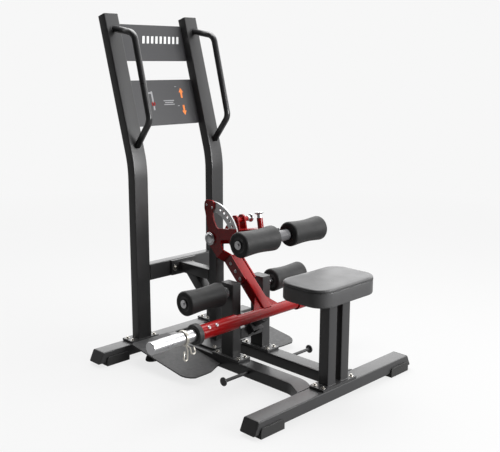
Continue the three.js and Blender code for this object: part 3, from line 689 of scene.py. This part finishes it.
def fasteners(name, places, kind, look, body, r, high):
    """One piece holding several identical bolt heads at (origin, axis) places."""
    points, faces = merged([kind(origin, axis, r, high) for origin, axis in places])
    made = piece(name, points, faces, look, body)
    bevel = made.modifiers.new("bevel", "BEVEL")
    bevel.width = 0.0003
    bevel.segments = 2
    bevel.angle_limit = math.radians(35)
    weighted = made.modifiers.new("weighted", "WEIGHTED_NORMAL")
    weighted.keep_sharp = False


def weld_ripple(ring):
    """A weld bead's radius at a ring, as a share of its largest."""
    return 0.86 + 0.14 * math.cos(ring * 2 * math.pi / RIPPLE)


def post_weld(x, y, half_x, half_y):
    """The rippled run of weld round the foot of a post."""
    path = rounded_box_path(at(x, y, PLATE_TOP), X, Y, half_x, half_y, POST_CORNER)
    rings = swept_rings(even(path, WELD_STEP), WELD_R, 8, closed=True, ripple=weld_ripple)
    return joined(rings), bridge(rings, closed=True)


def foot_bolts_and_welds():
    """Bolts through the base plates and the weld runs round the posts standing on them."""
    bolts = []
    welds = []
    for _, sign in SIDES:
        for x, y, half_x, half_y in SIDE_POSTS:
            welds.append(post_weld(sign * x, y, half_x, half_y))
        for x, y, steps_x, steps_y in SIDE_BOLTS:
            bolts += [(sign * x + dx, y + dy) for dx in steps_x for dy in steps_y]
    welds.append(post_weld(0, MAST_Y, NARROW, NARROW))
    places = [(at(x, y, PLATE_TOP), Z) for x, y in bolts]
    fasteners("base_plate_bolts", places, hex_head, BOLT, "frame", r=5.6, high=8)
    points, faces = merged(welds)
    piece("post_welds", points, faces, CHARCOAL, "frame")


FLANGE_BOLTS_X = (-54, 54)
FLANGE_FACE_Y = -44.5
FLANGE_Z = 373


def beam_bolts():
    """Bolts on the mast beam's end flange."""
    places = [(at(x, FLANGE_FACE_Y, FLANGE_Z), -Y) for x in FLANGE_BOLTS_X]
    fasteners("flange_bolts", places, hex_head, BOLT, "frame", r=8, high=9)


BAR_BOLTS_X = (304, 344)
BAR_BOLTS_TURN = math.radians(136)   # round the bar, from its rear side over the top
STRAP_BOLTS = (140, 181, 221)        # from the pivot shaft down the lever
STRAP_X = 31.3


def lever_bolts():
    """Button heads on the bar's outer tubes and on the fork's straps, both sides."""
    out = Vector((0, math.cos(BAR_BOLTS_TURN), math.sin(BAR_BOLTS_TURN)))
    places = []
    for _, sign in SIDES:
        for x in BAR_BOLTS_X:
            places.append((at(sign * x, BAR_Y, BAR_Z) + out * (BAR_OUTER_R - 0.6) * MM, out))
        for down in STRAP_BOLTS:
            places.append((on_lever(down, sign * STRAP_X), X * sign))
    fasteners("lever_bolts", places, socket_head, CHROME, "lever", r=7.5, high=4.5)


FORK_FACE_X = -57
FORK_PINS = ((-268, 698), (-303, 690))   # y and z


def fork_pins():
    """Small rivets that hold the sector plate to the left side of the fork."""
    places = [(at(FORK_FACE_X, y, z), -X) for y, z in FORK_PINS]
    fasteners("fork_pins", places, socket_head, CHROME, "lever", r=5, high=3)


def pivot_caps():
    """Domed chrome covers on both ends of the lever's pivot shaft."""
    profile = [(66.6, 24.5), (68.5, 24.5), (70.6, 22), (72.2, 16), (73, 9), (73.3, 1)]
    for side, sign in SIDES:
        points, faces = capped(spun(profile, at(*HUB), X * sign, 48))
        piece("pivot_cap_" + side, points, faces, CHROME, "lever")


def axle_ends():
    """Zinc finish on the washers and bolts at the ends of the painted cross shaft."""
    shaft = NODES["arm_slide"].data
    shaft.materials.append(ZINC)
    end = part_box("upper_roller_right")[1].x
    for face in shaft.polygons:
        if abs(face.center.x) > end:
            face.material_index = 1


# ---- Foam rollers ---------------------------------------------------------------

BORE_R = 12.9
ROLLER_SINK = 1.5             # the end ring below the foam's ends
ROLLER_EDGE = 9               # radius of the foam's rolled ends
ROLLER_SKIN = 0.8             # the foam's surface inside the roller's full radius
ROLLER_WAIST = 4.8            # how much slimmer the middle is
ROLLER_STEPS = 18             # along the waisted part
END_RING_R = 32
END_RING_DEPTH = 2.2


def roller_profile(half, r):
    """Waisted foam sleeve with rolled ends and a sunk end ring, from one end to the other."""
    full = r - ROLLER_SKIN

    def end(sign):
        sunk = half - ROLLER_SINK
        edge = [(sunk, 21), (sunk, 30), (half - 0.2, 31.5), (half, 33), (half, r - 11)]
        for k in range(1, 7):
            turn = math.pi / 2 * k / 6
            along = half - ROLLER_EDGE + ROLLER_EDGE * math.cos(turn)
            edge.append((along, full - ROLLER_EDGE + ROLLER_EDGE * math.sin(turn)))
        return [(sign * along, radius) for along, radius in edge]

    body = []
    for k in range(1, ROLLER_STEPS):
        share = -1 + 2 * k / ROLLER_STEPS
        waist = ROLLER_WAIST * (1 - share * share) ** 1.5
        body.append((share * (half - ROLLER_EDGE), full - waist))
    return end(-1) + body + list(reversed(end(1)))


def foam_roller(node):
    """The foam of one roller, with a second finish on its end rings."""
    low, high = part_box(node)
    centre = (low + high) / 2
    half = (high.x - low.x) / 2 / MM
    r = (high.z - low.z) / 2 / MM
    sunk = half - ROLLER_SINK
    profile = [(-sunk, BORE_R)] + roller_profile(half, r) + [(sunk, BORE_R)]
    rings = spun(profile, centre, X, 64)
    made = piece(node + "_foam", joined(rings), bridge(rings, closed=True), FOAM, node)
    made.data.materials.append(FOAM_END)
    for face in made.data.polygons:
        off = face.center - centre
        radial = math.hypot(off.y, off.z) / MM
        if abs(off.x) / MM > half - END_RING_DEPTH and radial < END_RING_R:
            face.material_index = 1
    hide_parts(node)


def foam_rollers():
    for side, _ in SIDES:
        foam_roller("upper_roller_" + side)
        foam_roller("lower_roller_" + side)


# ---- Seat pad --------------------------------------------------------------------

PAD_CORNER = 67
PAD_CORNER_LEAST = 4          # of the innermost rings
PAD_EDGE = 5                  # radius of the rolled top edge
PAD_FOOT = 5                  # height at which the sides start, above the drawn-in lower edge
PAD_SHRINK = 1.6              # the pad starts this far inside its box, to leave room to swell
PAD_CAP = 1.5                 # most that a point of the pad may swell
PAD_VOXEL = 4
PAD_ROUNDS = 10               # of evening out the swell
SWELL_FRAMES = 20
SEAM_DROP = 13                # seam below the pad's top
SEAM_PULL = 1.6               # how deep the cover is drawn in at the seam
SEAM_WIDTH = 2.2              # how fast that fades above and below
SEAM_REACH = 7
WELT_R = 1.3
WELT_STEP = 6
WELT_PROUD = 0.7
STITCH_DROP = 4               # stitches below the seam
STITCH_POINTS = 4             # points along one stitch
THREAD_R = 0.45
THREAD_STEP = 1.5
THREAD_PROUD = 0.15


def pad_outline(low, high, z, inset=0, shrink=0):
    """The pad's rounded outline at a height; inset tightens its corners, shrink does not."""
    centre = (low + high) / 2
    half_x = (high.x - low.x) / 2 / MM - shrink
    half_y = (high.y - low.y) / 2 / MM - shrink
    return rounded_box_path(
        Vector((centre.x, centre.y, z)), X, Y, half_x - inset, half_y - inset,
        max(PAD_CORNER - inset, PAD_CORNER_LEAST), 10,
    )


def pad_form(low, high):
    """Points and faces of the closed pad before it swells: flat below, rolled top edge, flat top."""
    bottom = low.z
    foot = bottom + PAD_FOOT * MM
    top = high.z - PAD_SHRINK * MM
    side = top - PAD_EDGE * MM - bottom - PAD_FOOT * MM
    levels = [(bottom, 60), (bottom, 25), (bottom, 5), (bottom + 1.5 * MM, 1.5)]
    for k in range(6):
        levels.append((foot + side * k / 6, 0))
    for k in range(7):
        turn = math.pi / 2 * k / 6
        levels.append((top + (math.sin(turn) - 1) * PAD_EDGE * MM, PAD_EDGE * (1 - math.cos(turn))))
    levels += [(top, inset) for inset in (20, 35, 55)]
    return capped([pad_outline(low, high, z, inset, PAD_SHRINK) for z, inset in levels])


def apply_modifiers(made):
    """Turns what the modifiers make into the piece's own mesh."""
    graph = bpy.context.evaluated_depsgraph_get()
    result = bpy.data.meshes.new_from_object(made.evaluated_get(graph))
    made.modifiers.clear()
    made.data = result


def inflated(made):
    """Where the pad's points are after a short run as cloth under pressure."""
    cloth = made.modifiers.new("cloth", "CLOTH")
    cloth.settings.use_pressure = True
    cloth.settings.uniform_pressure_force = 2.5
    cloth.settings.effector_weights.gravity = 0
    cloth.settings.quality = 5
    cloth.settings.tension_stiffness = 60
    cloth.settings.compression_stiffness = 60
    cloth.settings.bending_stiffness = 5
    scene = bpy.context.scene
    for number in range(1, SWELL_FRAMES + 1):
        scene.frame_set(number)
    shape = made.evaluated_get(bpy.context.evaluated_depsgraph_get())
    moved = [vertex.co.copy() for vertex in shape.data.vertices]
    made.modifiers.remove(cloth)
    scene.frame_set(1)
    return moved


def evened(data, steps, rounds):
    """The moves averaged with their neighbours' a number of times, which removes wrinkles."""
    for _ in range(rounds):
        total = [step.copy() for step in steps]
        count = [1] * len(steps)
        for edge in data.edges:
            a, b = edge.vertices
            total[a] += steps[b]
            total[b] += steps[a]
            count[a] += 1
            count[b] += 1
        steps = [summed / many for summed, many in zip(total, count)]
    return steps


def swell(made):
    """Inflates the pad by no more than its cap at any point, and keeps its underside flat."""
    rest = [vertex.co.copy() for vertex in made.data.vertices]
    underside = min(point.z for point in rest) + PAD_VOXEL * MM
    steps = []
    for before, after in zip(rest, inflated(made)):
        step = after - before
        if step.length > PAD_CAP * MM:
            step = step.normalized() * PAD_CAP * MM
        if before.z < underside:
            step = Vector((0, 0, 0))
        steps.append(step)
    for vertex, step in zip(made.data.vertices, evened(made.data, steps, PAD_ROUNDS)):
        vertex.co += step


def sink_seam(made, low, high):
    """Pulls the cover in along the seam, less and less above and below it."""
    seam_z = high.z - SEAM_DROP * MM
    centre = (low + high) / 2
    for vertex in made.data.vertices:
        off = abs(vertex.co.z - seam_z) / MM
        if off < SEAM_REACH:
            pull = SEAM_PULL * math.exp(-(off / SEAM_WIDTH) ** 2)
            inward = Vector((centre.x - vertex.co.x, centre.y - vertex.co.y, 0)).normalized()
            vertex.co += inward * pull * MM


def seat_pad():
    """The cushion, its welt and its stitches."""
    low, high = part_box("seat_pad")
    points, faces = pad_form(low, high)
    made = piece("seat_cushion", points, faces, VINYL, "frame")
    remesh = made.modifiers.new("remesh", "REMESH")
    remesh.mode = "VOXEL"
    remesh.voxel_size = PAD_VOXEL * MM
    apply_modifiers(made)
    swell(made)
    smooth = made.modifiers.new("smooth", "SMOOTH")
    smooth.factor = 0.5
    smooth.iterations = 1
    divide = made.modifiers.new("subdivision", "SUBSURF")
    divide.levels = 1
    divide.render_levels = 1
    apply_modifiers(made)
    sink_seam(made, low, high)
    for face in made.data.polygons:
        face.use_smooth = True
    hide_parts("seat_pad")
    bpy.context.view_layer.update()
    pad_welt(made, low, high)
    pad_stitches(made, low, high)


def hugging(cover, path, proud):
    """The path laid on the cover's surface, standing proud of it by some millimetres."""
    laid = []
    for point in path:
        _, spot, normal, _ = cover.closest_point_on_mesh(point)
        laid.append(spot + normal * proud * MM)
    return laid


def pad_welt(cover, low, high):
    """Thin cord sewn into the seam that joins the top panel and the side band."""
    z = high.z - SEAM_DROP * MM
    loop = hugging(cover, even(pad_outline(low, high, z), WELT_STEP), WELT_PROUD)
    rings = swept_rings(loop, WELT_R, 8, closed=True)
    piece("seat_welt", joined(rings), bridge(rings, closed=True), PIPING, "frame")


def pad_stitches(cover, low, high):
    """A run of short stitches just below the seam, all the way round."""
    z = high.z - (SEAM_DROP + STITCH_DROP) * MM
    loop = hugging(cover, even(pad_outline(low, high, z), THREAD_STEP), THREAD_PROUD)
    parts = []
    for start in range(0, len(loop) - STITCH_POINTS + 1, STITCH_POINTS):
        parts.append(capped(swept_rings(loop[start:start + STITCH_POINTS], THREAD_R, 6)))
    points, faces = merged(parts)
    piece("seat_stitches", points, faces, THREAD, "frame")


# ---- Handles and clips ------------------------------------------------------------

def handle(side, sign):
    """Bent hand rail whose ends run into the upright."""
    x = sign * HANDLE_X
    corners = [at(x, 128, 1445.2), at(x, -9, 1423), at(x, -104, 1058), at(x, -13, 945.4)]
    rings = swept_rings(filleted(corners, HANDLE_BEND, 16), HANDLE_R, 32)
    points, faces = capped(rings)
    made = piece("hand_rail_" + side, points, faces, HANDLE, "frame")
    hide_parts("handle_" + side)


CLIP_GAP = 0.3                # between the sleeve and the wire
CLIP_COIL_R = SLEEVE_R + CLIP_GAP + CLIP_WIRE_R
CLIP_HALF_WIDE = 5.8          # of the coil along the sleeve
CLIP_STEPS = 60
CLIP_FIRST = math.radians(-90)
CLIP_LAST = math.radians(222 + 360)
CLIP_BEND = 4
CLIP_NEAR = 9                 # how far the inner grip hangs in front of the bar's middle


def clip_coil():
    """The turns of wire round the sleeve."""
    coil = []
    for i in range(CLIP_STEPS + 1):
        share = i / CLIP_STEPS
        turn = CLIP_FIRST + (CLIP_LAST - CLIP_FIRST) * share
        x = CLIP_X + CLIP_HALF_WIDE * (2 * share - 1)
        coil.append((x, BAR_Y + CLIP_COIL_R * math.cos(turn), BAR_Z + CLIP_COIL_R * math.sin(turn)))
    return coil


def clip(side, sign):
    """Spring clip: nearly two turns round the sleeve, and a hairpin grip on each end."""
    coil = clip_coil()
    near_y = BAR_Y - CLIP_NEAR
    inner = [(CLIP_X - 43, near_y, 229), (CLIP_X - 51, near_y, 203), (CLIP_X - 41, near_y, 198),
             (CLIP_X - 30, near_y, 204), (CLIP_X - 25, near_y, 228),
             (CLIP_X - CLIP_HALF_WIDE, near_y, BAR_Z - CLIP_COIL_R), coil[0]]
    far_y = coil[-1][1]
    outer = [coil[-1], (CLIP_X - 2, far_y, 223), (CLIP_X + 1, far_y, 190),
             (CLIP_X + 10, far_y, 185.5), (CLIP_X + 19, far_y, 197), (CLIP_X + 14, far_y, 225)]

    def placed(chain):
        return [at(sign * x, y, z) for x, y, z in chain]

    path = filleted(placed(inner), CLIP_BEND, 6)[:-1] + placed(coil)
    path += filleted(placed(outer), CLIP_BEND, 6)[1:]
    points, faces = capped(swept_rings(path, CLIP_WIRE_R, 16))
    made = piece("spring_clip_" + side, points, faces, CLIP, "clip_" + side)
    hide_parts("clip_" + side)


# ---- Panels -------------------------------------------------------------------------

INK_PROUD = 0.35              # the printing stands this far out of the panels
INK_SUNK = 0.5
SLASHES = 9
SLASH_PITCH = 25
SLASH_ALONG = 572
TEXT_LINES = 3
TEXT_PITCH = 9


def decal(name, shapes, look):
    """Flat printed shapes on the leaning panels; each is an outline of (x, along)."""
    parts = []
    for outline in shapes:
        front = [on_face(x, along, SIGN_FRONT + INK_PROUD) for x, along in outline]
        back = [on_face(x, along, SIGN_FRONT - INK_SUNK) for x, along in outline]
        parts.append(capped([back, front]))
    points, faces = merged(parts)
    piece(name, points, faces, look, "frame", smooth=False)


def bar_shape(x, along, wide, high, slant=0.0):
    """A printed bar; slant moves its upper end sideways."""
    return [(x - wide / 2, along - high / 2), (x + wide / 2, along - high / 2),
            (x + wide / 2 + slant, along + high / 2), (x - wide / 2 + slant, along + high / 2)]


def disc_shape(x, along, r, count=28):
    turns = [2 * math.pi * k / count for k in range(count)]
    return [(x + r * math.cos(turn), along + r * math.sin(turn)) for turn in turns]


def arrow_shape(x, along, size, sign):
    """Chunky arrow pointing up or down."""
    stem, wing, neck = 0.22, 0.55, 0.1
    outline = [(-stem, -1), (stem, -1), (stem, neck), (wing, neck), (0, 1), (-wing, neck),
               (-stem, neck)]
    return [(x + u * size, along + sign * v * size) for u, v in outline]


def panels():
    """Generic marks in place of the printing: slanted bars above, a plain diagram below."""
    slashes = [bar_shape(-52 + SLASH_PITCH * k, SLASH_ALONG, 13, 34, slant=9) for k in range(SLASHES)]
    decal("top_panel_mark", slashes, WHITE_INK)
    lines = [bar_shape(30, 288 - TEXT_PITCH * k, 62 - 14 * (k % 2), 4) for k in range(TEXT_LINES)]
    lines += [bar_shape(84, 352, 12, 2.5), bar_shape(84, 262, 12, 2.5)]
    decal("placard_lines", lines, GREY_INK)
    rails = [bar_shape(-62, 290, 9, 86), bar_shape(-92, 300, 9, 56), bar_shape(-77, 326, 24, 8)]
    decal("placard_diagram", rails, GREY_INK)
    decal("placard_dot", [disc_shape(-62, 276, 10)], RED)
    arrows = [arrow_shape(112, 322, 24, 1), arrow_shape(112, 240, 24, -1)]
    decal("placard_arrows", arrows, ORANGE_INK)


# ---- Studio ---------------------------------------------------------------------------

BACKDROP = 0.93               # brightness of the backdrop, and of the floor far from the machine
FLOOR_ALBEDO = 0.1
FLOOR_GLOW = 0.775            # brightness of the floor beside the machine
FLOOR_MIRRORED = 0.24         # brightness of the floor in glossy reflections
FLOOR_NEAR = 1.2              # in metres, where the floor starts to fade into the backdrop
FLOOR_FAR = 5
FLOOR_HALF = 40
BRIGHT_SIDE = Vector((0.8, 0.48, 0.34)).normalized()
WORLD_RAMP = {"From Min": -0.2, "From Max": 0.95, "To Min": 0.05, "To Max": 2.2}


def camera():
    """The view from the front left, looking slightly down."""
    data = bpy.data.cameras.new("camera")
    data.lens = 56.21
    data.sensor_width = 36
    data.shift_x = 0.0266
    data.clip_end = 50
    made = bpy.data.objects.new("camera", data)
    bpy.context.scene.collection.objects.link(made)
    made.location = at(-2291.6, -2738.6, 1296.7)
    made.rotation_euler = (math.radians(90 - 11.758), 0, math.radians(-44.368))
    bpy.context.scene.camera = made


def area_light(name, place, target, size, power):
    """A rectangular lamp that faces its target; place, target and size are in metres."""
    data = bpy.data.lights.new(name, "AREA")
    data.shape = "RECTANGLE"
    data.size, data.size_y = size
    data.energy = power
    made = bpy.data.objects.new(name, data)
    bpy.context.scene.collection.objects.link(made)
    made.location = place
    made.rotation_euler = (Vector(target) - Vector(place)).to_track_quat("-Z", "Y").to_euler()


def studio_world():
    """Near-white to the camera; for the machine, light that is brightest from the bright side."""
    world = bpy.data.worlds.new("studio")
    world.use_nodes = True
    tree = world.node_tree
    lit = tree.nodes["Background"]
    place = add_node(tree, "ShaderNodeTexCoord")
    facing = add_node(tree, "ShaderNodeVectorMath", operation="DOT_PRODUCT")
    facing.inputs[1].default_value = BRIGHT_SIDE
    tree.links.new(place.outputs["Generated"], facing.inputs[0])
    ramp = add_node(tree, "ShaderNodeMapRange", interpolation_type="SMOOTHSTEP")
    for name, value in WORLD_RAMP.items():
        ramp.inputs[name].default_value = value
    tree.links.new(facing.outputs["Value"], ramp.inputs["Value"])
    tree.links.new(ramp.outputs["Result"], lit.inputs["Strength"])
    lit.inputs["Color"].default_value = (1, 1, 1, 1)
    seen = add_node(tree, "ShaderNodeBackground")
    seen.inputs["Color"].default_value = (BACKDROP, BACKDROP, BACKDROP, 1)
    ray = add_node(tree, "ShaderNodeLightPath")
    mix = add_node(tree, "ShaderNodeMixShader")
    tree.links.new(ray.outputs["Is Camera Ray"], mix.inputs["Fac"])
    tree.links.new(lit.outputs["Background"], mix.inputs[1])
    tree.links.new(seen.outputs["Background"], mix.inputs[2])
    tree.links.new(mix.outputs["Shader"], tree.nodes["World Output"].inputs["Surface"])
    bpy.context.scene.world = world


def studio_floor():
    """A pale floor that nearly melts into the backdrop, with only faint shadows."""
    look = Look("studio_floor", (FLOOR_ALBEDO,) * 3, 0.9)
    reach = look.node("ShaderNodeVectorMath", operation="LENGTH")
    look.link(look.place, reach.inputs[0])
    away = look.between(reach.outputs["Value"], FLOOR_NEAR, FLOOR_FAR)
    look.tint(away, (0, 0, 0))
    look.set("Specular IOR Level", 0.0)
    look.set("Emission Color", (1, 1, 1, 1))
    ray = look.node("ShaderNodeLightPath").outputs
    seen = look.node("ShaderNodeMath", operation="MULTIPLY")
    look.link(look.between(away, 0, 1, FLOOR_GLOW, BACKDROP), seen.inputs[0])
    look.link(ray["Is Camera Ray"], seen.inputs[1])
    glow = look.node("ShaderNodeMath", operation="MAXIMUM")
    look.link(seen.outputs["Value"], glow.inputs[0])
    look.link(look.between(ray["Is Glossy Ray"], 0, 1, 0, FLOOR_MIRRORED), glow.inputs[1])
    look.link(glow.outputs["Value"], look.shader.inputs["Emission Strength"])
    data = bpy.data.meshes.new("floor")
    corners = [(-1, -1), (1, -1), (1, 1), (-1, 1)]
    data.from_pydata([(x * FLOOR_HALF, y * FLOOR_HALF, 0) for x, y in corners], [], [(0, 1, 2, 3)])
    data.materials.append(look.material)
    floor = bpy.data.objects.new("floor", data)
    bpy.context.scene.collection.objects.link(floor)


def studio():
    studio_world()
    studio_floor()
    area_light("key", (1.3, -3.8, 1.6), (0, -0.2, 0.7), (2.2, 1.8), 185)
    area_light("top", (0.6, 0.6, 3.4), (0, -0.2, 0.4), (2.4, 2.0), 90)
    bpy.context.scene.view_settings.view_transform = "Standard"


# ---- The whole machine -------------------------------------------------------------------

camera()
studio()
dress_cad_nodes()
foam_rollers()
seat_pad()
for side_name, side_sign in SIDES:
    handle(side_name, side_sign)
    clip(side_name, side_sign)
foot_bolts_and_welds()
beam_bolts()
lever_bolts()
fork_pins()
pivot_caps()
axle_ends()
panels()
